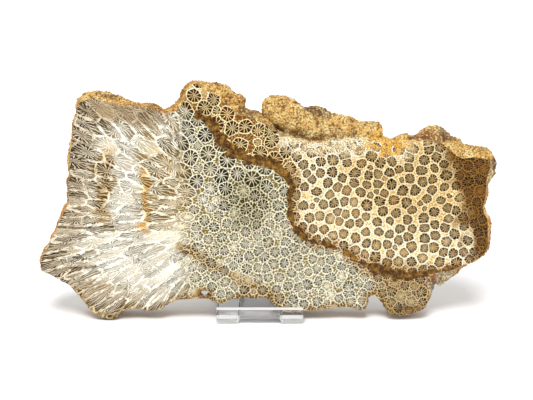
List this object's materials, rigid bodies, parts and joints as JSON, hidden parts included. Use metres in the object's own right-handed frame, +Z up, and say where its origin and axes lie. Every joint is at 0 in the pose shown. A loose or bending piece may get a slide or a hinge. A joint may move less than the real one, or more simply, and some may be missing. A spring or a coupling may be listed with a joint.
{
  "type": "fossil coral slice",
  "caption": "Thick slice of fossil coral with a polished face and a rough rind, leaning in a small clear acrylic display stand.",
  "frame": {"origin": "middle of the object's box, on the surface that it stands on", "axes": "+X to the right along the slice as its polished face is seen, +Y away from the viewer of that face, +Z up"},
  "size_m": [0.1996, 0.042, 0.1021],
  "materials": {
    "fossil_coral": "polished face, rough rind",
    "clear_acrylic": "clear and glossy"
  },
  "bodies": {
    "root": {"coral_slice": "fossil_coral", "stand_base": "clear_acrylic", "stand_leg_left": "clear_acrylic", "stand_leg_right": "clear_acrylic"}
  },
  "joints": []
}
